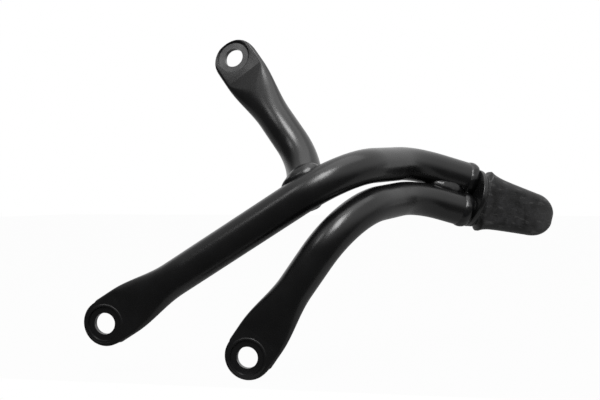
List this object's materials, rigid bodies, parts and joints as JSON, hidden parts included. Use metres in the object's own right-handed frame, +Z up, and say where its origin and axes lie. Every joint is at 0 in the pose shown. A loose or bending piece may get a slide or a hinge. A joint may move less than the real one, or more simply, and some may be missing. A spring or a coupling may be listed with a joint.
{
  "type": "footrest bracket",
  "caption": "Passenger footrest bracket for a motorbike: bent black tubes with flattened bolt eyes, welded to a round end plate that carries a tapered rubber footrest.",
  "frame": {"origin": "centre of the main tube's bolt hole, half way through the pressed eye", "axes": "+X from the main bolt eye towards the footrest; +Z up, towards the upper bolt eye; -Y out of the round seats of the two lower eyes, towards the viewer of the picture"},
  "size_m": [0.2943, 0.1317, 0.2161],
  "materials": {
    "black_paint": "gloss black paint",
    "blade_steel": "plain mill steel",
    "black_rubber": "matt moulded rubber"
  },
  "bodies": {
    "root": {"main_tube": "black_paint", "lower_tube": "black_paint", "upper_tube": "black_paint", "end_plate": "black_paint", "branch_weld": "black_paint", "crotch_weld": "black_paint", "end_weld": "black_paint", "blade_weld": "black_paint", "peg_blade": "blade_steel", "rubber_sleeve": "black_rubber"}
  },
  "joints": []
}
